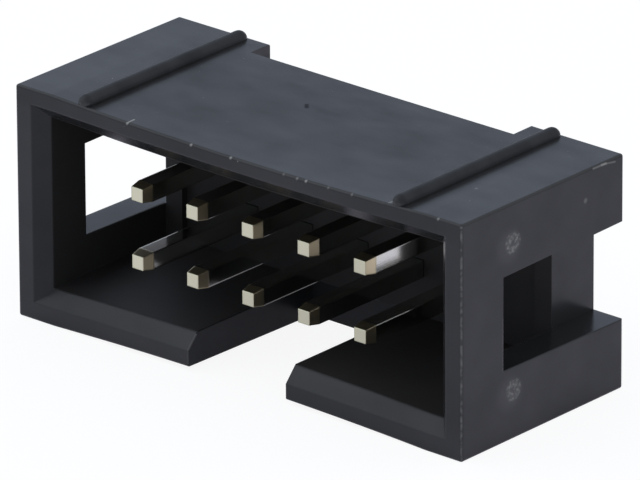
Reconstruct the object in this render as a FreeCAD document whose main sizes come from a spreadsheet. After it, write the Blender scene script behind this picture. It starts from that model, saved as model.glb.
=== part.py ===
"""Ten-way shrouded pin header: one moulded housing and ten square contact pins.

Lengths are in millimetres. X runs along the two rows of pins. Y runs through the part: the
mouth faces -Y and the solder tails point to +Y. Z is up, with the part lying on its keyed long
wall. The origin is the middle of the pin field, in the plane where the feet meet the board.
A level is a height above the board, measured towards the mouth.
"""
import math
import os
import re

import FreeCAD
import Part
import Sketcher
from FreeCAD import Vector

SIZES = {
    # Housing shell
    "housing_length": 20.3,
    "upper_side": 4.3,
    "lower_side": 4.4,
    "housing_depth": 8.6,
    "outer_round": 0.1,
    # Bow of the long walls, which draw inwards at the mouth as the moulding cools
    "mouth_bow": 0.18,
    "lead_in_bow": 0.1,
    "bow_reach": 8.5,
    # Cavity that takes the plug
    "cavity_length": 17.86,
    "cavity_width": 6.44,
    "end_draft": 0.6,
    "long_draft": 1.5,
    "floor_level": 2.27,
    # Chamfer that leads the plug in
    "lead_in": 0.5,
    "lead_in_angle": 45.0,
    # Sunk panel round the pins, level with the end of the key slot
    "panel_half_length": 8.08,
    # Key slot in the lower long wall
    "slot_width": 4.5,
    "slot_end_level": 2.0,
    # Relief between the feet on the board side
    "foot_left_offset": 5.9,
    "foot_right_offset": 6.1,
    "stand_off": 1.04,
    # Channels in the two short walls, whose floors lie a little inside the cavity
    "channel_level": 6.4,
    "channel_overlap": 0.095,
    "channel_front_height": 3.44,
    "channel_rear_height": 3.64,
    # Half-round ribs with ball ends on the upper long wall
    "rib_radius": 0.3,
    "rib_left_offset": 7.08,
    "rib_right_offset": 7.21,
    "rib_rear_level": 0.02,
    "rib_front_setback": 0.03,
    # Arrow at contact one, on the keyed wall
    "arrow_side": 1.3,
    "arrow_depth": 0.15,
    "arrow_setback": 0.9,
    # Contact pins
    "pin_pitch": 2.54,
    "row_pitch": 2.54,
    "pin_width": 0.64,
    "pin_setback": 0.62,
    "tip_width": 0.5,
    "tip_length": 0.45,
    "tail_length": 3.0,
    "tail_tip_width": 0.36,
    "tail_tip_length": 0.5,
    # Press fit of a pin in the housing floor
    "hole_play": 0.015,
    "barb_inset": 0.2,
    "barb_length": 0.6,
    "barb_lead": 0.25,
    "barb_thickness": 0.4,
}

PINS_IN_ROW = 5

# Distance that a cutting profile runs past the surface it opens
OVERCUT = 1.0

# Distance that the lead-in's cut runs on inside the cavity
OVERLAP = 0.2

# Heights and thicknesses that follow from the driving sizes
HALF_LENGTH = "(housing_length / 2)"
MOUTH_HALF_LENGTH = "(cavity_length / 2)"
MOUTH_HALF_WIDTH = "(cavity_width / 2)"
CAVITY_DEPTH = "(housing_depth - floor_level)"
FLOOR_HALF_LENGTH = f"({MOUTH_HALF_LENGTH} - {CAVITY_DEPTH} * tan(end_draft))"
FLOOR_HALF_WIDTH = f"({MOUTH_HALF_WIDTH} - {CAVITY_DEPTH} * tan(long_draft))"
SLOT_HEIGHT = f"(lower_side - min({FLOOR_HALF_WIDTH}; {MOUTH_HALF_WIDTH} - mouth_bow))"
CHANNEL_DEPTH = f"({HALF_LENGTH} - {MOUTH_HALF_LENGTH} + channel_overlap)"
HOLE_HALF = "(pin_width / 2 + hole_play)"
PIN_REACH = "(housing_depth - pin_setback)"

doc = FreeCAD.newDocument("box_header")
sheet = doc.addObject("Spreadsheet::Sheet", "Sizes")
for row, (name, value) in enumerate(SIZES.items(), start=1):
    sheet.set(f"A{row}", name)
    sheet.set(f"B{row}", str(value))
    sheet.setAlias(f"B{row}", name)
doc.recompute()


def bound(formula):
    """Points every size named in a formula at its cell. Each size's name has an underscore."""
    return re.sub(r"[a-z]+(_[a-z]+)+", lambda match: "Sizes." + match.group(), formula)


def number(formula):
    """The present value of a formula, as a starting place for the sketch solver."""
    return float(sheet.evalExpression(bound(formula)))


def plane(body, role):
    """One of a body's own origin planes."""
    return next(part for part in body.Origin.OriginFeatures if part.Role == role)


def new_body(name):
    """A body whose label is the name of its sub-part."""
    body = doc.addObject("PartDesign::Body", name)
    body.Label = name
    return body


def new_sketch(body, name, role, offset=None):
    """A sketch on an origin plane, moved along the plane's normal by a formula."""
    sketch = body.newObject("Sketcher::SketchObject", name)
    sketch.AttachmentSupport = [(plane(body, role), "")]
    sketch.MapMode = "FlatFace"
    if offset:
        sketch.setExpression("AttachmentOffset.Base.z", bound(offset))
    return sketch


def pin_down(sketch, geometry, point, x, y):
    """Holds one point of a sketch at the place that two formulas give."""
    for kind, axis, formula in (("DistanceX", -2, x), ("DistanceY", -1, y)):
        if formula == "0":
            sketch.addConstraint(Sketcher.Constraint("PointOnObject", geometry, point, axis))
            continue
        constraint = Sketcher.Constraint(kind, -1, 1, geometry, point, number(formula))
        index = sketch.addConstraint(constraint)
        sketch.setExpression(f"Constraints[{index}]", bound(formula))


def outline(sketch, corners):
    """A closed outline of straight lines through corners given as pairs of formulas."""
    points = [Vector(number(x), number(y), 0) for x, y in corners]
    first = sketch.GeometryCount
    count = len(points)
    for i in range(count):
        sketch.addGeometry(Part.LineSegment(points[i], points[(i + 1) % count]), False)
    for i, (x, y) in enumerate(corners):
        following = first + (i + 1) % count
        sketch.addConstraint(Sketcher.Constraint("Coincident", first + i, 2, following, 1))
        pin_down(sketch, first + i, 1, x, y)


def rectangle(sketch, low_x, high_x, low_y, high_y):
    """A rectangle between two pairs of formulas."""
    outline(sketch, [(low_x, low_y), (high_x, low_y), (high_x, high_y), (low_x, high_y)])


def centred(sketch, width, height):
    """A rectangle about the sketch's origin."""
    rectangle(sketch, f"-{width} / 2", f"{width} / 2", f"-{height} / 2", f"{height} / 2")


def bowed(sketch, half_length, low, high, bow=None):
    """A rectangle whose long sides may bow inwards between the two ends of the bow's reach."""
    corners = [
        (half_length, f"-{low}"),
        (half_length, high),
        ("bow_reach", high),
        ("-bow_reach", high),
        (f"-{half_length}", high),
        (f"-{half_length}", f"-{low}"),
        ("-bow_reach", f"-{low}"),
        ("bow_reach", f"-{low}"),
    ]
    points = [Vector(number(x), number(y), 0) for x, y in corners]
    count = len(points)
    arcs = (2, 6) if bow else ()
    for i, start in enumerate(points):
        end = points[(i + 1) % count]
        if i not in arcs:
            sketch.addGeometry(Part.LineSegment(start, end), False)
            continue
        middle = Vector(0, start.y - math.copysign(number(bow), start.y), 0)
        sketch.addGeometry(Part.Arc(start, middle, end), False)
        radius = f"(bow_reach ^ 2 + {bow} ^ 2) / (2 * {bow})"
        held = sketch.addConstraint(Sketcher.Constraint("Radius", i, number(radius)))
        sketch.setExpression(f"Constraints[{held}]", bound(radius))
    ends = [curve_ends(sketch, i, points[i]) for i in range(count)]
    for i, (x, y) in enumerate(corners):
        following = (i + 1) % count
        joined = Sketcher.Constraint("Coincident", i, ends[i][1], following, ends[following][0])
        sketch.addConstraint(joined)
        pin_down(sketch, i, ends[i][0], x, y)


def curve_ends(sketch, index, start):
    """Which of a curve's two end points, 1 or 2, is its start in the outline, and which its end."""
    first = sketch.getPoint(index, 1)
    return (1, 2) if first.distanceToPoint(start) < 1e-6 else (2, 1)


def feature(body, kind, name, sketch, length, reverse=False, taper=None, midplane=False):
    """A pad or pocket of a sketch, with its length and taper bound to the sheet."""
    before = body.Shape.Volume if body.Tip and not body.Shape.isNull() else 0.0
    made = body.newObject(kind, name)
    made.Profile = sketch
    made.setExpression("Length", bound(length))
    made.Reversed = reverse
    made.Midplane = midplane
    if taper:
        made.setExpression("TaperAngle", bound(taper))
    doc.recompute()
    change = body.Shape.Volume - before
    wrong = change <= 0 if kind == "PartDesign::Pad" else change >= 0
    if wrong:
        raise RuntimeError(f"{name} changes the volume of {body.Label} by {change:.4f}")
    return made


def pad(body, name, sketch, length, **options):
    """Adds material along a sketch's normal."""
    return feature(body, "PartDesign::Pad", name, sketch, length, **options)


def pocket(body, name, sketch, length, **options):
    """Removes material against a sketch's normal."""
    return feature(body, "PartDesign::Pocket", name, sketch, length, **options)


def loft(body, kind, name, sketches):
    """A loft with straight rulings between sketches, from the first to the last."""
    before = body.Shape.Volume if body.Tip and not body.Shape.isNull() else 0.0
    made = body.newObject(kind, name)
    made.Profile = sketches[0]
    made.Sections = sketches[1:]
    made.Ruled = True
    doc.recompute()
    change = body.Shape.Volume - before
    wrong = change <= 0 if kind == "PartDesign::AdditiveLoft" else change >= 0
    if wrong:
        raise RuntimeError(f"{name} changes the volume of {body.Label} by {change:.4f}")
    return made


def turn(body, name, sketch):
    """Adds a full turn of a profile about its own last line."""
    before = body.Shape.Volume
    made = body.newObject("PartDesign::Revolution", name)
    made.Profile = sketch
    made.ReferenceAxis = (sketch, [f"Edge{sketch.GeometryCount}"])
    made.Angle = 360
    doc.recompute()
    if body.Shape.Volume <= before:
        raise RuntimeError(f"{name} adds nothing to {body.Label}")
    return made


def mirrored(body, name, original):
    """Repeats a feature on the other short wall."""
    copy = body.newObject("PartDesign::Mirrored", name)
    copy.Originals = [original]
    copy.MirrorPlane = (plane(body, "YZ_Plane"), [""])
    body.Tip = copy
    doc.recompute()


def edges_where(shape, test):
    """Names of the edges whose points all pass a test."""
    names = []
    for index, edge in enumerate(shape.Edges, start=1):
        points = [vertex.Point for vertex in edge.Vertexes] + [edge.CenterOfMass]
        if all(test(point) for point in points):
            names.append(f"Edge{index}")
    return names


def dress(body, kind, name, edges, amount):
    """A fillet or chamfer on edges of the body as it stands."""
    base = body.Tip
    made = body.newObject(kind, name)
    made.Base = (base, edges)
    made.setExpression("Radius" if kind == "PartDesign::Fillet" else "Size", bound(amount))
    doc.recompute()
    if not edges or "Invalid" in made.State:
        raise RuntimeError(f"{name} on {len(edges)} edges of {body.Label} gives no shape")
    return made


def section(body, name, level, half_length, low, high, bow=None):
    """A section across the housing at a height above the board."""
    sketch = new_sketch(body, name, "XZ_Plane", level)
    bowed(sketch, half_length, low, high, bow)
    return sketch


def shell(body):
    """The outer block with its rounded edges, and the drafted cavity with its lead-in."""
    outer = (HALF_LENGTH, "lower_side", "upper_side")
    foot = section(body, "foot_section", None, *outer)
    rim = section(body, "rim_section", "housing_depth", *outer, "mouth_bow")
    loft(body, "PartDesign::AdditiveLoft", "block", [foot, rim])
    edges = edges_where(body.Shape, on_two_sides)
    dress(body, "PartDesign::Fillet", "outer_edges", edges, "outer_round")

    inner = (MOUTH_HALF_LENGTH, MOUTH_HALF_WIDTH, MOUTH_HALF_WIDTH)
    mouth = section(body, "mouth_section", "housing_depth", *inner, "mouth_bow")
    bottom = (FLOOR_HALF_LENGTH, FLOOR_HALF_WIDTH, FLOOR_HALF_WIDTH)
    floor = section(body, "floor_section", "floor_level", *bottom)
    loft(body, "PartDesign::SubtractiveLoft", "cavity", [mouth, floor])

    grown = [f"({half} + lead_in)" for half in inner]
    wide = section(body, "lead_in_section", "housing_depth", *grown, "lead_in_bow")
    shrunk = [f"({half} - {OVERLAP})" for half in inner]
    level = f"housing_depth - (lead_in + {OVERLAP}) / tan(lead_in_angle)"
    narrow = section(body, "lead_in_root", level, *shrunk, "mouth_bow")
    loft(body, "PartDesign::SubtractiveLoft", "mouth_lead_in", [wide, narrow])


def on_two_sides(point):
    """True for a point of the block that lies on two of its outer sides, so on one of its edges."""
    near = number("mouth_bow") + 1e-4
    sides = [
        abs(point.x) > number(HALF_LENGTH) - 1e-4,
        point.z > number("upper_side") - near or point.z < near - number("lower_side"),
        point.y > -1e-4 or point.y < -number("housing_depth") + 1e-4,
    ]
    return sum(sides) >= 2


def floor_panel(body):
    """The sunk panel that the mould's core leaves round the pins."""
    panel = new_sketch(body, "panel_outline", "XZ_Plane", "floor_level")
    rectangle(panel, "-panel_half_length", "panel_half_length", f"-{FLOOR_HALF_WIDTH}",
              FLOOR_HALF_WIDTH)
    pocket(body, "floor_panel", panel, "floor_level - slot_end_level")


def key_slot(body):
    """The polarising slot, open at the rim, that ends level with the sunk panel."""
    slot = new_sketch(body, "slot_outline", "XY_Plane", "-lower_side")
    front = f"-(housing_depth + {OVERCUT})"
    rectangle(slot, "-slot_width / 2", "slot_width / 2", front, "-slot_end_level")
    pocket(body, "key_slot", slot, SLOT_HEIGHT, reverse=True)


def board_relief(body):
    """The step between the feet, which lifts the floor off the solder joints."""
    relief = new_sketch(body, "relief_outline", "XZ_Plane")
    below, above = f"-(lower_side + {OVERCUT})", f"upper_side + {OVERCUT}"
    rectangle(relief, "-foot_left_offset", "foot_right_offset", below, above)
    pocket(body, "board_relief", relief, "stand_off", reverse=True)


def end_channels(body):
    """Channels in the short walls, open to the board, that break into the cavity."""
    side = new_sketch(body, "channel_outline", "YZ_Plane", "housing_length / 2")
    past = str(OVERCUT)
    corners = [
        ("-channel_level", "channel_front_height / 2"),
        ("-channel_level", "-channel_front_height / 2"),
        ("0", "-channel_rear_height / 2"),
        (past, "-channel_rear_height / 2"),
        (past, "channel_rear_height / 2"),
        ("0", "channel_rear_height / 2"),
    ]
    outline(side, corners)
    channel = pocket(body, "end_channel", side, CHANNEL_DEPTH)
    mirrored(body, "end_channels", channel)


def pin_holes(body):
    """One square hole through the floor, repeated along both pitches."""
    hole = new_sketch(body, "hole_outline", "XZ_Plane", "housing_depth")
    steps = PINS_IN_ROW - 1
    left = f"-pin_pitch * {steps / 2}"
    low = "-row_pitch / 2"
    rectangle(
        hole,
        f"{left} - {HOLE_HALF}",
        f"{left} + {HOLE_HALF}",
        f"{low} - {HOLE_HALF}",
        f"{low} + {HOLE_HALF}",
    )
    first = pocket(body, "first_hole", hole, f"housing_depth + {OVERCUT}")
    grid = body.newObject("PartDesign::MultiTransform", "hole_grid")
    along_row = body.newObject("PartDesign::LinearPattern", "along_row")
    across_rows = body.newObject("PartDesign::LinearPattern", "across_rows")
    grid.Originals = [first]
    along_row.Direction = (hole, ["H_Axis"])
    along_row.setExpression("Length", bound(f"pin_pitch * {steps}"))
    along_row.Occurrences = PINS_IN_ROW
    across_rows.Direction = (hole, ["V_Axis"])
    across_rows.setExpression("Length", bound("row_pitch"))
    across_rows.Occurrences = 2
    grid.Transformations = [along_row, across_rows]
    body.Tip = grid
    doc.recompute()


def ribs(body):
    """Two half-round ribs with ball ends, each a capsule sunk to its middle in the upper wall."""
    for name, middle in (("left_rib", "-rib_left_offset"), ("right_rib", "rib_right_offset")):
        half = new_sketch(body, f"{name}_profile", "XY_Plane", "upper_side")
        capsule_half(half, middle, "-(housing_depth - rib_front_setback)", "-rib_rear_level",
                     "rib_radius")
        turn(body, name, half)


def capsule_half(sketch, axis, start, end, radius):
    """Half of a capsule's outline beside its axis, which the last line runs along."""
    side = f"{axis} + {radius}"
    low, high = f"{start} + {radius}", f"{end} - {radius}"
    x, r = number(axis), number(radius)
    first, last = number(start), number(end)
    lean = r * math.sqrt(0.5)
    before, after = Vector(x + r, first + r, 0), Vector(x + r, last - r, 0)
    head, tail = Vector(x, first, 0), Vector(x, last, 0)
    sketch.addGeometry(Part.Arc(head, Vector(x + lean, first + r - lean, 0), before), False)
    sketch.addGeometry(Part.LineSegment(before, after), False)
    sketch.addGeometry(Part.Arc(after, Vector(x + lean, last - r + lean, 0), tail), False)
    sketch.addGeometry(Part.LineSegment(tail, head), False)
    starts = [curve_ends(sketch, i, p) for i, p in enumerate((head, before, after, tail))]
    for i in range(4):
        following = (i + 1) % 4
        joined = Sketcher.Constraint("Coincident", i, starts[i][1], following, starts[following][0])
        sketch.addConstraint(joined)
    for i, (px, py) in enumerate(((axis, start), (side, low), (side, high), (axis, end))):
        pin_down(sketch, i, starts[i][0], px, py)
    for i in (0, 2):
        held = sketch.addConstraint(Sketcher.Constraint("Radius", i, r))
        sketch.setExpression(f"Constraints[{held}]", bound(radius))


def contact_arrow(body):
    """A sunk triangle on the keyed wall that points at contact one."""
    arrow = new_sketch(body, "arrow_outline", "XY_Plane", "-lower_side")
    middle = f"-pin_pitch * {(PINS_IN_ROW - 1) / 2}"
    tip = "-(housing_depth - arrow_setback)"
    base = f"{tip} + arrow_side * cos(30)"
    low, high = f"{middle} - arrow_side / 2", f"{middle} + arrow_side / 2"
    outline(arrow, [(middle, tip), (high, base), (low, base)])
    pocket(body, "contact_arrow", arrow, "arrow_depth", reverse=True)


def make_housing():
    """The moulded housing, in the order a designer would cut it."""
    body = new_body("housing")
    shell(body)
    floor_panel(body)
    key_slot(body)
    board_relief(body)
    end_channels(body)
    pin_holes(body)
    ribs(body)
    contact_arrow(body)
    return body


def make_pin(name, column, side):
    """A square pin with swaged ends and the barbs that hold it in the floor."""
    body = new_body(name)
    front = f"{PIN_REACH} - tip_length"
    rear = "-(tail_length - tail_tip_length)"

    shaft = new_sketch(body, f"{name}_section", "XZ_Plane", rear)
    centred(shaft, "pin_width", "pin_width")
    pad(body, f"{name}_shaft", shaft, f"{front} - ({rear})")

    nose = new_sketch(body, f"{name}_nose_section", "XZ_Plane", front)
    centred(nose, "pin_width", "pin_width")
    narrowing = "-atan((pin_width - tip_width) / 2 / tip_length)"
    pad(body, f"{name}_nose", nose, "tip_length", taper=narrowing)

    tail = new_sketch(body, f"{name}_tail_section", "XZ_Plane", rear)
    centred(tail, "pin_width", "pin_width")
    narrowing = "-atan((pin_width - tail_tip_width) / 2 / tail_tip_length)"
    pad(body, f"{name}_tail", tail, "tail_tip_length", reverse=True, taper=narrowing)

    barbs = new_sketch(body, f"{name}_barb_outline", "XY_Plane")
    start = "-(stand_off + barb_inset)"
    corners = [
        ("pin_width / 2", start),
        (HOLE_HALF, f"{start} - barb_lead"),
        (HOLE_HALF, f"{start} - barb_length"),
        (f"-{HOLE_HALF}", f"{start} - barb_length"),
        (f"-{HOLE_HALF}", f"{start} - barb_lead"),
        ("-pin_width / 2", start),
    ]
    outline(barbs, corners)
    pad(body, f"{name}_barbs", barbs, "barb_thickness", midplane=True)

    body.setExpression("Placement.Base.x", bound(f"pin_pitch * {column}"))
    body.setExpression("Placement.Base.z", bound(f"row_pitch / 2 * {side}"))
    return body


def make_pins():
    """Odd contacts are in the lower row, beside the key slot, and even ones above them."""
    pins = []
    for number_in_row in range(PINS_IN_ROW):
        column = number_in_row - (PINS_IN_ROW - 1) / 2
        for step, side in ((1, -1), (2, 1)):
            contact = 2 * number_in_row + step
            pins.append(make_pin(f"pin_{contact:02d}", column, side))
    return pins


def check_document():
    """Stops on any object that recomputing left failed."""
    for item in doc.Objects:
        if {"Invalid", "Error"} & set(item.State):
            raise RuntimeError(f"{item.Name} is {item.State}")


def write_parts(bodies):
    """Writes each sub-part to a file of its own, named by its label."""
    os.makedirs("parts", exist_ok=True)
    for body in bodies:
        shape = body.Shape
        if shape.isNull() or not shape.isValid():
            raise RuntimeError(f"{body.Label} has no valid shape")
    for body in bodies:
        shape = body.Shape
        shape.exportStep(f"parts/{body.Label}.step")
        print(f"{body.Label}: {len(shape.Solids)} solid, {shape.Volume:.3f} mm3, {len(shape.Faces)} faces")


parts = [make_housing()] + make_pins()
doc.recompute()
check_document()
write_parts(parts)
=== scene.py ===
# %% [markdown]
# # A ten-way box header, dressed for a close-up
#
# The part is a small moulded shroud with ten square pins. Its solids come from the CAD model,
# already at their real size, so this lesson is about everything that shape alone can't give:
# how black plastic answers light, how plated metal borrows its colour from the room, and how
# little marks tell the eye that a thing is twenty millimetres long and not two metres.
#
# The first cell loads the solids. They are never moved or reshaped here. They could have been
# modelled again with subdivision surfaces, but a moulding with flat walls and crisp corners
# gains nothing from that, and the pins have to stay in their holes.

# %% Load the solids
import math

import bmesh
import bpy
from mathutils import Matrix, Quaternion, Vector


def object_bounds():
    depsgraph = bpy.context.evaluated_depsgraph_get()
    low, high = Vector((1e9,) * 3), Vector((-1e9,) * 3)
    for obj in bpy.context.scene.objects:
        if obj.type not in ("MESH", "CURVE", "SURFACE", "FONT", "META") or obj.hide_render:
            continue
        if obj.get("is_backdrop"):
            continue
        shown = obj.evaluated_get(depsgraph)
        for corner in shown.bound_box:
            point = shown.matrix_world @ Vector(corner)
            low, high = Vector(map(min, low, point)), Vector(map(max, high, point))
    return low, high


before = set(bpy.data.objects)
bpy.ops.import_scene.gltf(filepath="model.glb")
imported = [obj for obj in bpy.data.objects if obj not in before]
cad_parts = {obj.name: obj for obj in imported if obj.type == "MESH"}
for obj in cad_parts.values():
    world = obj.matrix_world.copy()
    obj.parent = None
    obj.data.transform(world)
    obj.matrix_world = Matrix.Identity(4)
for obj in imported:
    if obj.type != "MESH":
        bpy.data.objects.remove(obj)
cad_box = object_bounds()
MM = 0.001
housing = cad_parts["housing"]
pins = [piece for name, piece in sorted(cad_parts.items()) if name != "housing"]
print(f"{len(pins)} pins, and a housing {(cad_box[1].x - cad_box[0].x) / MM:.1f} mm long")

# %% [markdown]
# ## Standing where the photographer stood
#
# A short lens would make the near corner swell. The edges of this part stay almost parallel
# in the picture, so it was taken from far off with a very long lens. The camera is placed by
# what a photographer would note down: the point aimed at, how far round the part, how far
# above the table, the distance, and the small lean of the tripod head.

# %% The camera
AIM = Vector((-1.71, -2.21, -1.33)) * MM
AZIMUTH = math.radians(40.99)
ELEVATION = math.radians(22.205)
DISTANCE = 391.58 * MM
LEAN = math.radians(-0.307)
FOCAL_LENGTH = 631.8
SENSOR_WIDTH = 36
NEAREST_SEEN, FARTHEST_SEEN = 0.01, 10

outwards = Vector((
    math.sin(AZIMUTH) * math.cos(ELEVATION),
    -math.cos(AZIMUTH) * math.cos(ELEVATION),
    math.sin(ELEVATION),
))
lens = bpy.data.cameras.new("long_lens")
lens.lens = FOCAL_LENGTH
lens.sensor_width = SENSOR_WIDTH
lens.clip_start = NEAREST_SEEN
lens.clip_end = FARTHEST_SEEN
camera = bpy.data.objects.new("camera", lens)
bpy.context.scene.collection.objects.link(camera)
camera.location = AIM + outwards * DISTANCE
camera.rotation_mode = "QUATERNION"
camera.rotation_quaternion = (-outwards).to_track_quat("-Z", "Y") @ Quaternion((0, 0, 1), LEAN)
bpy.context.scene.camera = camera
print(f"camera {camera.location.length / MM:.0f} mm from the part")

# %% [markdown]
# ## Colours and nodes
#
# Colours are written the way a paint program shows them, as sRGB hex, and one function turns
# them into the linear light that a shader adds up. Node graphs are built by one function that
# makes a node, sets it and wires its inputs. A dictionary of inputs keeps each node to a line
# or two, and a link is simply an input whose value is another node or one of its outputs.

# %% Colour and node helpers
def linear(hexed):
    """sRGB hex, such as 7F7F7F, as linear red, green, blue and alpha."""
    channels = [int(hexed[i:i + 2], 16) / 255 for i in (0, 2, 4)]
    curve = [c / 12.92 if c <= 0.04045 else ((c + 0.055) / 1.055) ** 2.4 for c in channels]
    return (*curve, 1.0)


def add(tree, kind, inputs=None, **settings):
    """A node with its settings. A node given as an input stands for its first live output."""
    node = tree.nodes.new(kind)
    for name, value in settings.items():
        setattr(node, name, value)
    for key, value in (inputs or {}).items():
        if isinstance(value, bpy.types.Node):
            value = next(socket for socket in value.outputs if socket.enabled)
        if isinstance(value, bpy.types.NodeSocket):
            tree.links.new(value, node.inputs[key])
        else:
            node.inputs[key].default_value = value
    return node


def new_material(name):
    """An empty material and its node tree."""
    material = bpy.data.materials.new(name)
    material.use_nodes = True
    material.node_tree.nodes.clear()
    return material, material.node_tree


print("mid grey is", round(linear("7F7F7F")[0], 3), "in linear light")

# %% [markdown]
# ## Masks, coats and sums
#
# A finish is mostly a matter of where: where the mould was rough, where an edge is rubbed, where
# the table is in shadow. Each such place is a mask, which is one there and nought elsewhere. It
# could be painted by hand, but a mask worked out from measures stays sharp however close the
# camera comes. Five small functions do all of this work. The first joins masks, the second makes
# one from limits, the third lays coats of colour by masks, the fourth adds up numbers, and the
# last picks the strongest of several marks.

# %% Functions for masks
MIX_FACTOR, MIX_UNDER, MIX_OVER = 0, 6, 7  # the Mix node's sockets when it mixes colours


def joined(tree, operation, masks):
    """Masks joined in turn: MULTIPLY keeps what all of them share, and MAXIMUM what any has."""
    whole, *others = masks
    for mask in others:
        whole = add(tree, "ShaderNodeMath", {0: whole, 1: mask}, operation=operation)
    return whole


def region(tree, *limits):
    """One where every measure is past its second limit, nought short of its first."""
    return joined(tree, "MULTIPLY", [
        add(tree, "ShaderNodeMapRange", {"Value": measure, "From Min": outer, "From Max": inner},
            interpolation_type="SMOOTHSTEP") for measure, outer, inner in limits])


def coated(tree, colour, *coats):
    """A colour with others laid over it, each as thickly as its mask says."""
    colour = linear(colour)
    for mask, coat in coats:
        colour = add(tree, "ShaderNodeMix", {
            MIX_FACTOR: mask, MIX_UNDER: colour, MIX_OVER: linear(coat)}, data_type="RGBA")
    return colour


def added_up(tree, number, *masks):
    """A number to which each mask adds its own weight."""
    for mask, weight in masks:
        number = add(tree, "ShaderNodeMath", {0: mask, 1: weight, 2: number},
                     operation="MULTIPLY_ADD")
    return number


def strongest(tree, masks):
    """The strongest of several masks, once each is multiplied by its own weight."""
    return joined(tree, "MAXIMUM", [added_up(tree, 0.0, weighed) for weighed in masks])


print("five functions for masks")

# %% [markdown]
# ## A white table
#
# Black plastic shows almost no colour of its own. What the eye reads as grey on its walls is
# the room, mirrored faintly in the surface, so the room is modelled as carefully as the part.
# The picture was taken on a white table, and the lower walls mirror that table.
#
# The table could be made white by pouring light on it, but then the part would be overlit.
# Instead it adds a glow that only the eye, mirrors and glass can see. Real light still falls
# on it, so the shadow stays, and it still bounces plain white light up at the part.
#
# What the plastic mirrors of the table is dimmer than what the eye sees straight on, because
# paper that a picture shows as pure white is often overexposed. Close to the part the table
# darkens further, and under it lies in shadow, which keeps the cheek of the key slot dark. A
# patch in front is shaded by whoever holds the camera. All three are set for mirrors alone.

# %% How the table is shaded
BODY_LENGTH = cad_box[1].x - cad_box[0].x
BODY_FRONT = cad_box[0].y
SHADE_OUTSIDE = 1.6 * MM
SHADE_INSIDE = 1.5 * MM
SEEN_GLOW = 0.9
MIRRORED_GLOW = 0.84
GLOW_IN_SHADOW = 0.32
CAMERA_SHADE = 0.25
CAMERA_SHADE_AT = Vector((2.0, -16.0, -4.4)) * MM
CAMERA_SHADE_REACH = (13 * MM, 5 * MM)

table_paper, tree = new_material("white_table_paper")
path = add(tree, "ShaderNodeLightPath").outputs
indirect = joined(tree, "MAXIMUM", [path["Is Glossy Ray"], path["Is Transmission Ray"]])
looks = joined(tree, "MAXIMUM", [path["Is Camera Ray"], indirect])
spot = add(tree, "ShaderNodeNewGeometry").outputs["Position"]
apart = add(tree, "ShaderNodeVectorMath", {0: spot, 1: CAMERA_SHADE_AT}, operation="DISTANCE")
spot = add(tree, "ShaderNodeSeparateXYZ", {0: spot}).outputs
to_side = add(tree, "ShaderNodeMath", {0: spot["X"]}, operation="ABSOLUTE")
to_front = add(tree, "ShaderNodeMath", {0: spot["Y"], 1: BODY_FRONT / 2}, operation="SUBTRACT")
to_front = add(tree, "ShaderNodeMath", {0: to_front}, operation="ABSOLUTE")
half_length, half_depth = BODY_LENGTH / 2, -BODY_FRONT / 2
under_body = region(tree, (to_side, half_length + SHADE_OUTSIDE, half_length - SHADE_INSIDE),
                    (to_front, half_depth + SHADE_OUTSIDE, half_depth - SHADE_INSIDE))
mirrored = added_up(tree, MIRRORED_GLOW,
                    (region(tree, (under_body, 0.0, 1.0)), GLOW_IN_SHADOW - MIRRORED_GLOW))
shaded = added_up(tree, 1.0, (region(tree, (apart, *CAMERA_SHADE_REACH)), -CAMERA_SHADE))
mirrored = joined(tree, "MULTIPLY", [mirrored, shaded])
strength = added_up(tree, SEEN_GLOW, (indirect, joined(tree, "SUBTRACT", [mirrored, SEEN_GLOW])))
print(f"mirrors see the table at {MIRRORED_GLOW}, and at {GLOW_IN_SHADOW} under the part")

# %% [markdown]
# ## The paper and the table top
#
# Matt paper is a plain diffuse surface. It is seen in one mixture, in which a darker paper and
# the glow add up to white, and lights the part in another, as ordinary pale paper. The table
# top is a flat disc, larger than any view of it. A plane would do as well, but its corners
# could come into the picture when the camera is moved.

# %% The table
TABLE_RADIUS = 0.7
TABLE_LEVEL = cad_box[0].z
ROUNDNESS = 96

bounced = add(tree, "ShaderNodeBsdfDiffuse", {"Color": linear("E8E8E8")})
shadowed = add(tree, "ShaderNodeBsdfDiffuse", {"Color": linear("6E6E6E")})
tint = coated(tree, "FFFFFF", (indirect, "EFEEFF"))
glow = add(tree, "ShaderNodeEmission", {"Color": tint, "Strength": strength})
shown = add(tree, "ShaderNodeAddShader", {0: shadowed, 1: glow})
both = add(tree, "ShaderNodeMixShader", {0: looks, 1: bounced, 2: shown})
add(tree, "ShaderNodeOutputMaterial", {"Surface": both})

disc = bmesh.new()
bmesh.ops.create_circle(disc, cap_ends=True, radius=TABLE_RADIUS, segments=ROUNDNESS)
mesh = bpy.data.meshes.new("table")
disc.to_mesh(mesh)
disc.free()
table = bpy.data.objects.new("table", mesh)
table.location.z = TABLE_LEVEL
table.data.materials.append(table_paper)
bpy.context.scene.collection.objects.link(table)
table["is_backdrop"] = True
print(f"table {-TABLE_LEVEL / MM:.2f} mm below the middle of the pin field")

# %% [markdown]
# ## A pale room
#
# The top of the part mirrors the far wall of the room, which is a cool blue grey. The wall is
# lighter on the right, as if a second window lay behind there. Only the ribs and the rounded
# edges lean far enough to mirror it, and without it they would turn black.
#
# A photograph of a room wrapped round the scene would do the same, but it would be a picture,
# and a few plain facts about the room are easier to change than a picture is. Each height here
# is the upward part of the direction looked in: nought at the horizon and one straight up.

# %% The room
WALL_STARTS = 0.02
WALL_FULL = 0.28
CEILING_STARTS = 0.45
CEILING_FULL = 0.75
LIGHT_WALL_TO_RIGHT = (0.0, 0.4)
LIGHT_WALL_BEHIND = (0.2, 0.6)

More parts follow.
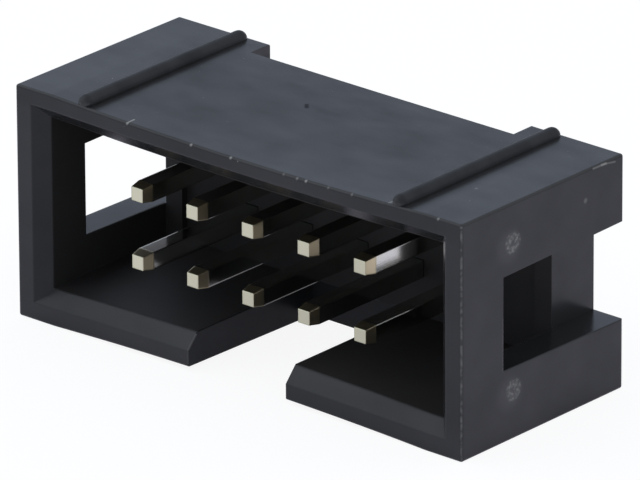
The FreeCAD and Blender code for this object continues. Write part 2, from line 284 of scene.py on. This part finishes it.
room = bpy.data.worlds.new("pale_room")
room.use_nodes = True
tree = room.node_tree
tree.nodes.clear()
direction = add(tree, "ShaderNodeTexCoord").outputs["Generated"]
towards = add(tree, "ShaderNodeSeparateXYZ", {0: direction}).outputs
far_wall = region(tree, (towards["Z"], WALL_STARTS, WALL_FULL))
ceiling = region(tree, (towards["Z"], CEILING_STARTS, CEILING_FULL))
light_wall = region(tree, (towards["X"], *LIGHT_WALL_TO_RIGHT),
                    (towards["Y"], *LIGHT_WALL_BEHIND),
                    (towards["Z"], WALL_STARTS, CEILING_STARTS))
painted = coated(tree, "D4DAE4", (far_wall, "BFCBDF"), (ceiling, "BEC5D2"),
                 (light_wall, "ECECF0"))
air = add(tree, "ShaderNodeBackground", {"Color": painted, "Strength": 1.0})
add(tree, "ShaderNodeOutputWorld", {"Surface": air})
scene = bpy.context.scene
scene.world = room
scene.view_settings.view_transform = "Standard"
print(f"the far wall is full {math.degrees(math.asin(WALL_FULL)):.0f} degrees above the table")

# %% [markdown]
# ## One window
#
# The edges and the lower lead-in mirror what is above and in front, and they are light, so a
# window or a soft lamp stood there. One square softbox takes its place. It stands well to the
# left and in front, and so its shadow falls behind the part, where the camera hardly sees it.
# A sun lamp would be simpler, but its shadows are too hard for a picture taken indoors.

# %% The window
WINDOW_TOWARDS = Vector((-0.607, -0.378, 0.699))
WINDOW_DISTANCE = 0.6
WINDOW_WIDTH = 0.45
WINDOW_POWER = 0.5
WINDOW_COLOUR = (0.93, 0.96, 1.0)

softbox = bpy.data.lights.new("window_softbox", "AREA")
softbox.shape = "SQUARE"
softbox.size = WINDOW_WIDTH
softbox.energy = WINDOW_POWER
softbox.color = WINDOW_COLOUR
lamp = bpy.data.objects.new("window_softbox", softbox)
lamp.location = WINDOW_TOWARDS * WINDOW_DISTANCE
lamp.rotation_mode = "QUATERNION"
lamp.rotation_quaternion = WINDOW_TOWARDS.to_track_quat("Z", "Y")
scene.collection.objects.link(lamp)
brightness = WINDOW_POWER / (math.pi * WINDOW_WIDTH ** 2)
print(f"the window is {brightness:.2f} times as bright as white paper in full light")

# %% [markdown]
# ## Places on the part
#
# The marks on this part have real sizes, from dust of a few hundredths of a millimetre to flow
# clouds of three. The class below turns the place on the part into millimetres and makes the
# masks that marks need: a ball, a line, smooth noise and scattered flecks. An image texture
# could hold them too, but it would need an unwrapped mesh and would blur close up.

# %% Masks by place
class Place:
    """A point on the part, in millimetres, and the masks that are worked out from it."""

    def __init__(self, tree):
        self.tree = tree
        self.metres = add(tree, "ShaderNodeTexCoord").outputs["Object"]
        self.point = add(tree, "ShaderNodeVectorMath", {0: self.metres, "Scale": 1 / MM},
                         operation="SCALE")
        self.axes = add(tree, "ShaderNodeSeparateXYZ", {0: self.point}).outputs

    def near(self, centre, radius, softness):
        """One inside a ball and nought outside it."""
        gap = add(self.tree, "ShaderNodeVectorMath", {0: self.point, 1: centre},
                  operation="DISTANCE")
        return region(self.tree, (gap, radius + softness, radius))

    def along(self, start, end, radius):
        """One near a straight line between two points."""
        start, end = Vector(start), Vector(end)
        run = (end - start).normalized()
        offset = add(self.tree, "ShaderNodeVectorMath", {0: self.point, 1: start},
                     operation="SUBTRACT")
        travelled = add(self.tree, "ShaderNodeVectorMath", {0: offset, 1: run},
                        operation="DOT_PRODUCT")
        held = add(self.tree, "ShaderNodeClamp",
                   {"Value": travelled, "Min": 0.0, "Max": (end - start).length})
        nearest = add(self.tree, "ShaderNodeVectorMath", {0: run, "Scale": held},
                      operation="SCALE")
        gap = add(self.tree, "ShaderNodeVectorMath", {0: offset, 1: nearest},
                  operation="DISTANCE")
        return region(self.tree, (gap, radius, radius / 3))

    def noise(self, size, detail=2.0, stretch=(1, 1, 1)):
        """Smooth noise with features of a size in millimetres, stretched along the axes."""
        squeeze = tuple(1 / part for part in stretch)
        where = add(self.tree, "ShaderNodeVectorMath", {0: self.metres, 1: squeeze},
                    operation="MULTIPLY")
        return add(self.tree, "ShaderNodeTexNoise",
                   {"Vector": where, "Scale": 1 / (size * MM), "Detail": detail})

    def flecks(self, spacing, radius, share):
        """Round flecks scattered at a spacing, with only a share of the places taken."""
        cells = add(self.tree, "ShaderNodeTexVoronoi",
                    {"Vector": self.metres, "Scale": 1 / (spacing * MM)}).outputs
        size = radius / spacing
        lot = add(self.tree, "ShaderNodeSeparateColor", {0: cells["Color"]})
        return region(self.tree, (cells["Distance"], size, size / 2), (lot, share, share - 0.02))


PICTURE_WIDTH = 640
FLECK = 0.05
pixels = FLECK * MM * FOCAL_LENGTH / SENSOR_WIDTH * PICTURE_WIDTH / DISTANCE
print(f"a fleck of {FLECK} mm is {pixels:.1f} pixels wide in the picture")

# %% [markdown]
# ## Moulded black PBT
#
# The housing is glass-filled PBT, a polyester that most connectors are made of. It is coloured
# with carbon black, so only one part in fifty of the light comes back from inside. The rest of
# what is seen is a faint mirror image, fairly sharp outside, where the mould is polished, and
# blurred in the cavity, whose core is spark-eroded.
#
# The material could be one dark colour, but then every wall would look drawn and not moulded.
# It is built up here over several cells instead, first the marks, then the places that mirror
# more or less, and at last the shader that brings them together. The measures below are the
# ones that most masks need: the three axes, and the distances from the middle planes.

# %% The plastic's measures
HALF = BODY_LENGTH / 2 / MM
FRONT = BODY_FRONT / MM
TOP = 4.3

pbt, tree = new_material("moulded_black_pbt")
here = Place(tree)
x, y, z = (here.axes[axis] for axis in "XYZ")
off_middle = add(tree, "ShaderNodeMath", {0: x}, operation="ABSOLUTE")
off_level = add(tree, "ShaderNodeMath", {0: z}, operation="ABSOLUTE")
print(f"the plastic runs {HALF:.2f} mm to each side and {-FRONT:.2f} mm forwards")

# %% [markdown]
# ## Ejector marks
#
# Two ejector pins pushed each short wall out of the mould. Their round ends left a cloudy ring
# of specks, rough enough to catch the light, in a faint halo that mirrors a little more than the
# wall. They are far too shallow to be worth a hollow in the mesh, so the light alone tells of
# them.

# %% Ejector marks
EJECTOR_MARKS = ((-5.9, 2.85), (-5.86, -2.58))
EJECTOR_RADIUS, EJECTOR_SOFTNESS = 0.252, 0.22
HOLLOW_RADIUS, HOLLOW_SOFTNESS, HOLLOW_DEPTH = 0.04, 0.2, 0.7
EJECTOR_WEIGHT = 0.75
SPECK_SIZE = 0.13
FAINTEST_SPECK, BRIGHTEST_SPECK = 0.16, 0.75
HALO_SOFTNESS = 0.6
HALO_SHIFT = (-0.2, -0.1)

marks = []
halos = []
cloudy = region(tree, (here.noise(SPECK_SIZE, detail=3.0), 0.46, 0.68))
cloudy = added_up(tree, FAINTEST_SPECK, (cloudy, BRIGHTEST_SPECK - FAINTEST_SPECK))
for side in (-HALF, HALF):
    for forwards, height in EJECTOR_MARKS:
        centre = (side, forwards, height)
        disc = here.near(centre, EJECTOR_RADIUS, EJECTOR_SOFTNESS)
        hollow = here.near(centre, HOLLOW_RADIUS, HOLLOW_SOFTNESS)
        hollow = added_up(tree, 0.0, (hollow, HOLLOW_DEPTH))
        ring = add(tree, "ShaderNodeMath", {0: disc, 1: hollow}, operation="SUBTRACT",
                   use_clamp=True)
        marks.append((joined(tree, "MULTIPLY", [ring, cloudy]), EJECTOR_WEIGHT))
        halo_centre = (side, forwards + HALO_SHIFT[0], height + HALO_SHIFT[1])
        halos.append(here.near(halo_centre, EJECTOR_RADIUS, HALO_SOFTNESS))
halo = joined(tree, "MAXIMUM", halos)
print(f"{len(marks)} ejector marks of {2 * EJECTOR_RADIUS:.2f} mm")

# %% [markdown]
# ## Rubs, chips, scratches and dust
#
# Wear makes black plastic paler, because small scratches scatter light. The corner that stands
# out most is rubbed to a thin broken line. The edges of the upper wall are painted a shade
# lighter than its face, painted light that hides the darker band their rounding mirrors. A few
# chips sit along the upper edge of the mouth, which bows inwards, so each chip is lowered by the
# bow where it lies. Short scratches, bright spots and two sizes of dust make up the rest, with
# painted highlights along the front edges of the key slot's left cheek and a painted glint on
# the right inner wall. Every mark has a weight, and where two of them meet the stronger one
# shows.

# %% Wear, dust and painted highlights
RUB_RADIUS, RUB_WEIGHT, RUB_PATCHES = 0.085, 0.42, 0.2
FAINTEST_RUB = 0.2
UPPER_EDGE_LIGHT_WEIGHT = 0.04
BOW, BOW_REACH = 0.18, 8.5
CHIP_INSET, CHIP_RADIUS, CHIP_SOFTNESS = 0.04, 0.01, 0.075
CHIPS = {-4.95: 0.9, -2.02: 0.9, -0.21: 0.9, 2.19: 0.3, 2.8: 0.5, 3.2: 0.9, 4.2: 0.3, 5.26: 0.4,
         9.1: 0.6}
SCRATCHES_AND_HIGHLIGHTS = (  # weight, radius, start and end
    (0.9, 0.05, (-4.93, FRONT + 0.05, 4.16), (-4.93, FRONT + 0.36, 4.19)),
    (0.4, 0.05, (HALF, -1.64, 4.24), (HALF, -1.07, 4.23)),
    (0.7, 0.06, (HALF, -1.2, 4.235), (HALF, -0.95, 4.22)),
    (0.3, 0.05, (HALF, -0.95, 4.22), (HALF, -0.48, 4.14)),
    (0.6, 0.07, (6.84, -8.46, 4.22), (6.9, -8.1, 4.28)),
    # Painted highlights along the front edges of the key slot's left cheek
    (0.3, 0.06, (-2.25, -8.15, -3.16), (-2.25, -8.56, -3.6)),
    (0.16, 0.05, (-2.25, -8.58, -3.6), (-2.25, -8.58, -4.1)),
    # A painted glint at the inner edge of the mouth's right wall
    (0.2, 0.05, (8.93, -8.0, -2.05), (8.93, -8.14, -2.95)),
)
BRIGHT_SPOTS = (  # weight, centre, radius and softness
    (0.3, (HALF, -2.05, 3.19), 0.02, 0.12),
    (0.45, (8.35, -5.69, TOP), 0.01, 0.09),
    (0.45, (HALF, FRONT, 4.22), 0.02, 0.08),
)
DUST = ((0.8, 0.9, 0.03, 0.2), (0.4, 0.34, 0.014, 0.3))  # weight, spacing, radius and share
DARK_SPECK = ((-1.06, -3.62, 4.228), (-1.23, -3.43, 4.231), 0.115)  # start, end and radius

rubbed = here.along((HALF, FRONT, TABLE_LEVEL / MM), (HALF, FRONT, TOP), RUB_RADIUS)
broken = region(tree, (here.noise(RUB_PATCHES, detail=5.0), 0.38, 0.66))
broken = added_up(tree, FAINTEST_RUB, (broken, 1 - FAINTEST_RUB))
marks.append((joined(tree, "MULTIPLY", [rubbed, broken]), RUB_WEIGHT))
# Painted light: the edges of the upper wall are drawn a shade lighter than its face, which hides
# the darker band their rounding mirrors.
painted_upper_edge_light = joined(tree, "MAXIMUM", [
    region(tree, (y, FRONT, FRONT + 0.02), (y, FRONT + 0.11, FRONT + 0.06)),
    region(tree, (off_middle, HALF, HALF - 0.02), (off_middle, HALF - 0.11, HALF - 0.06))])
painted_upper_edge_light = joined(tree, "MULTIPLY", [painted_upper_edge_light, region(tree, (z, 3.9, 4.0))])
marks.append((painted_upper_edge_light, UPPER_EDGE_LIGHT_WEIGHT))
for across, weight in CHIPS.items():
    drop = BOW * max(0.0, 1 - (across / BOW_REACH) ** 2)
    centre = (across, FRONT + CHIP_INSET, TOP - CHIP_INSET - drop)
    marks.append((here.near(centre, CHIP_RADIUS, CHIP_SOFTNESS), weight))
marks += [(here.along(start, end, radius), weight) for weight, radius, start, end in SCRATCHES_AND_HIGHLIGHTS]
marks += [(here.near(*ball), weight) for weight, *ball in BRIGHT_SPOTS]
marks += [(here.flecks(*scatter), weight) for weight, *scatter in DUST]
# The pale marks hold real wear and dust, and also the painted light on the upper wall's edges,
# the painted highlights on the key slot's cheek and the painted glint on the right inner wall.
light_marks = strongest(tree, marks)
speck = here.along(*DARK_SPECK)
print(f"{len(marks)} kinds and places of light marks, and one dark speck")

# %% [markdown]
# ## The rough cavity
#
# The core of the mould was spark-eroded, and its fine pits print on the walls of the cavity,
# down to the floor and into its sunk panel. The lead-in, the rim, the cheeks of the key slot
# and the end channels belong to the polished half. A separate material on the inner faces
# would do as well, but the housing is one mesh with one material slot, so the border is drawn
# by limits. Each line below has a measure, then where the mask is nought, then where it is one.

# %% Where the plastic is matt
POLISHED, CAVITY_ADDS, RIBS_ADD, MARKS_ADD = 0.24, 0.3, 0.25, 0.3
CAVITY = ((off_middle, 8.99, 8.93), (off_level, 3.36, 3.3), (y, -8.16, -8.08))
FLOOR = (y, -2.24, -2.26)
SUNK_PANEL = ((off_middle, 8.2, 8.1), (y, -1.95, -2.0))
SLOT_CHEEKS = ((off_middle, 2.3, 2.26), (z, -2.95, -3.02))

before_floor = joined(tree, "MAXIMUM", [region(tree, FLOOR), region(tree, *SUNK_PANEL)])
off_cheeks = added_up(tree, 1.0, (region(tree, *SLOT_CHEEKS), -1.0))
# This mask also lays the cavity's painted light, a lighter and warmer colour, in the finished
# plastic.
inside = joined(tree, "MULTIPLY", [region(tree, *CAVITY), before_floor, off_cheeks])
on_rib = region(tree, (z, TOP + 0.02, TOP + 0.08))
matt = added_up(tree, POLISHED, (light_marks, MARKS_ADD), (inside, CAVITY_ADDS),
                (on_rib, RIBS_ADD))
print(f"roughness {POLISHED} outside and {POLISHED + CAVITY_ADDS} in the cavity")

# %% [markdown]
# ## Flow clouds
#
# Melt that cools against the mould leaves clouds and streaks, places that mirror a little more
# or less. They are what makes a flat black wall look moulded. Two layers of noise make them,
# clouds of three millimetres and finer streaks, both drawn out along the housing, because the
# melt ran that way. The streaks are strong on the upper wall and faint elsewhere. A bump could
# show them too, but real ones have no depth to speak of: they differ in gloss, not in height.

# %% Clouds and streaks
CLOUD_SIZE, CLOUD_STRETCH = 3.2, (1.6, 1, 1)
STREAK_SIZE, STREAK_STRETCH = 0.9, (2.0, 1, 1)
STREAKS_ELSEWHERE, STREAKS_ON_TOP = 0.09, 0.4
UPPER_FACE = ((z, 3.9, 4.05), (y, FRONT + 0.02, FRONT + 0.1),
              (off_middle, HALF - 0.02, HALF - 0.1))

clouds = here.noise(CLOUD_SIZE, detail=4.0, stretch=CLOUD_STRETCH)
streaks = here.noise(STREAK_SIZE, detail=3.0, stretch=STREAK_STRETCH)
lighter_or_darker = added_up(tree, -0.5, (streaks, 1.0))
on_top = region(tree, *UPPER_FACE)
streaky = added_up(tree, STREAKS_ELSEWHERE,
                   (region(tree, (on_top, 0.0, 1.0)), STREAKS_ON_TOP - STREAKS_ELSEWHERE))
print(f"clouds of {CLOUD_SIZE} mm and streaks of {STREAK_SIZE} mm")

# %% [markdown]
# ## How strongly the plastic mirrors
#
# The specular level is the shader's own dial for this, and roughness is a poor substitute,
# because it blurs the image and hardly dims it. The upper wall mirrors a little more towards
# its edges and its left front corner, and the rim a little more than the walls behind it. The
# ribs, the cavity and the dark speck mirror less. The lower left of the mouth mirrors less too,
# a painted shade where the window's reflection in the lead-in fades towards the left. Each share
# is small, and only together do they look like a moulding.

# %% The mirror image
PLAIN_MIRROR = 0.155
CLOUDS_ADD, HALOS_ADD, RIM_ADDS, EDGES_ADD = 0.2, 0.13, 0.045, 0.08
RIM = ((y, FRONT + 0.04, FRONT), (z, 3.8, 3.4))
NEAR_EDGES = ((y, -6.0, FRONT), (y, -3.4, -1.2), (off_middle, 6.4, 8.4))
LEFT_CORNER, LEFT_CORNER_ADDS = ((-HALF, FRONT, TOP), 2.0, 5.0), 0.6
# Painted shade: the lead-in mirrors less at the lower left of the mouth, so the window's
# reflection fades there.
LOWER_LEFT_SHADE = ((-8.8, -8.4, -3.6), 1.0, 4.0)
DULLER = ((on_rib, 0.26), (inside, 0.25), (speck, 0.75), (here.near(*LOWER_LEFT_SHADE), 0.16))

near_edges = joined(tree, "MAXIMUM", [region(tree, limits) for limits in NEAR_EDGES])
near_edges = added_up(tree, near_edges, (here.near(*LEFT_CORNER), LEFT_CORNER_ADDS))
near_edges = joined(tree, "MULTIPLY", [near_edges, on_top])
mirror = added_up(tree, PLAIN_MIRROR, (clouds, CLOUDS_ADD), (lighter_or_darker, streaky),
                  (halo, HALOS_ADD), (region(tree, *RIM), RIM_ADDS), (near_edges, EDGES_ADD))
kept = added_up(tree, 1.0, (strongest(tree, DULLER), -1.0))
mirror = joined(tree, "MULTIPLY", [mirror, kept])
print(f"{len(DULLER)} places mirror less than the rest")

# %% [markdown]
# ## Grain and soft edges
#
# The bevel node bends the light at an edge as a small radius does. A bevel modifier would do it
# with real faces, at the cost of a far heavier mesh, and at a tenth of a millimetre nobody sees
# the difference. The node is switched off on the upper wall, whose own fillets show, and
# where the edges are crisp, behind the mouth and at the floor. It is switched off in one
# step, because a radius that fades out leaves thin dark lines.
#
# A grain of a twentieth of a millimetre lies over everything. It stands for the glass fibres
# under the skin, which are finer still and drawn as coarse as the picture can show.

# %% The finished plastic
EDGE_RADIUS, EDGE_SAMPLES = 0.09 * MM, 6
GRAIN_SIZE, GRAIN_DEPTH, GRAIN_STRENGTH = 0.05, 0.004 * MM, 0.35
PBT_IOR = 1.57
# Each line is a place with crisp edges, where everything in the line holds
CRISP = ((("GREATER_THAN", z, 3.8),),
         (("GREATER_THAN", y, -7.2), ("GREATER_THAN", z, 0.2)),
         (("GREATER_THAN", y, -2.4), ("LESS_THAN", off_middle, 8.9)))

crisp = joined(tree, "MAXIMUM", [joined(tree, "MULTIPLY", [
    add(tree, "ShaderNodeMath", {0: measure, 1: limit}, operation=operation)
    for operation, measure, limit in sides]) for sides in CRISP])
radius = added_up(tree, EDGE_RADIUS, (crisp, -EDGE_RADIUS))
rounded = add(tree, "ShaderNodeBevel", {"Radius": radius}, samples=EDGE_SAMPLES)
grain = add(tree, "ShaderNodeBump", {
    "Height": here.noise(GRAIN_SIZE), "Distance": GRAIN_DEPTH, "Strength": GRAIN_STRENGTH,
    "Normal": rounded})
# Painted light: the cavity is coloured lighter and warmer than the walls outside, which lifts
# its shade and takes the room's blue tint out of it.
colour = coated(tree, "282828", (inside, "2E2C2A"), (speck, "0A0A0A"), (light_marks, "A8A49C"))
plastic = add(tree, "ShaderNodeBsdfPrincipled", {
    "Base Color": colour, "Roughness": matt, "IOR": PBT_IOR, "Specular IOR Level": mirror,
    "Normal": grain})
add(tree, "ShaderNodeOutputMaterial", {"Surface": plastic})
housing.data.materials[0] = pbt
print(f"{len(tree.nodes)} nodes in the plastic")

# %% [markdown]
# ## Gold-flashed brass
#
# The pins are drawn brass wire, cut and swaged square, with a thin flash of pale gold. They are
# bright enough to mirror the black cavity, so a pin in shade looks black with one bright edge,
# and only its end, which faces the white table, looks pale gold. Drawing leaves faint lines
# along the wire, far finer than the 0.03 mm here, which is as fine as the picture can show.
# The swaged ends are rougher and a little yellower than the rest.
#
# A mirror shows a worn edge as a bright line, so the pins need soft edges even more than the
# plastic does. A bevel modifier can't give them: it stops at the shortest edge, and the steps
# of the press-fit barbs are only 0.015 mm high. The bevel node has no such limit.

# %% The pins
PIN_FRONT = FRONT + 0.62
SWAGED_END = (PIN_FRONT + 0.55, PIN_FRONT + 0.45)
CUT_FACE = (PIN_FRONT + 0.02, PIN_FRONT + 0.005)
EDGE_WEAR = 0.06 * MM
LINE_WIDTH, LINE_LENGTH, LINE_DEPTH, LINE_STRENGTH = 0.03, 40, 0.0006 * MM, 0.5
TARNISH_SIZE = 0.5
DRAWN_ROUGHNESS, SWAGED_ROUGHNESS = 0.09, 0.28

brass, tree = new_material("gold_flashed_brass")
here = Place(tree)
lines = here.noise(LINE_WIDTH, detail=1.0, stretch=(1, LINE_LENGTH, 1))
rounded = add(tree, "ShaderNodeBevel", {"Radius": EDGE_WEAR}, samples=EDGE_SAMPLES)
drawn = add(tree, "ShaderNodeBump", {
    "Height": lines, "Distance": LINE_DEPTH, "Strength": LINE_STRENGTH, "Normal": rounded})
swaged = region(tree, (here.axes["Y"], *SWAGED_END))
cut = region(tree, (here.axes["Y"], *CUT_FACE))
tarnish = region(tree, (here.noise(TARNISH_SIZE), 0.35, 0.75))
flashed = coated(tree, "D4D4CC", (tarnish, "D2CEC0"), (swaged, "D4C6A2"), (cut, "D6D4B6"))
rough = added_up(tree, DRAWN_ROUGHNESS,
                 (region(tree, (swaged, 0.0, 1.0)), SWAGED_ROUGHNESS - DRAWN_ROUGHNESS))
metal = add(tree, "ShaderNodeBsdfPrincipled", {
    "Base Color": flashed, "Metallic": 1.0, "Roughness": rough, "Normal": drawn})
add(tree, "ShaderNodeOutputMaterial", {"Surface": metal})
for pin in pins:
    pin.data.materials[0] = brass
print(f"{len(pins)} pins with edges of {EDGE_WEAR / MM:.2f} mm")

# %% [markdown]
# ## Checking the size
#
# Materials mustn't change how big the part is, so its box is written down beside the box that
# the solids had at the start.

# %% Sizes and the end
dressed_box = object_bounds()
growth = max(abs(dressed_box[i][k] - cad_box[i][k]) for i in (0, 1) for k in range(3))
print(f"dressing moved the box by {growth / MM:.4f} mm at most")
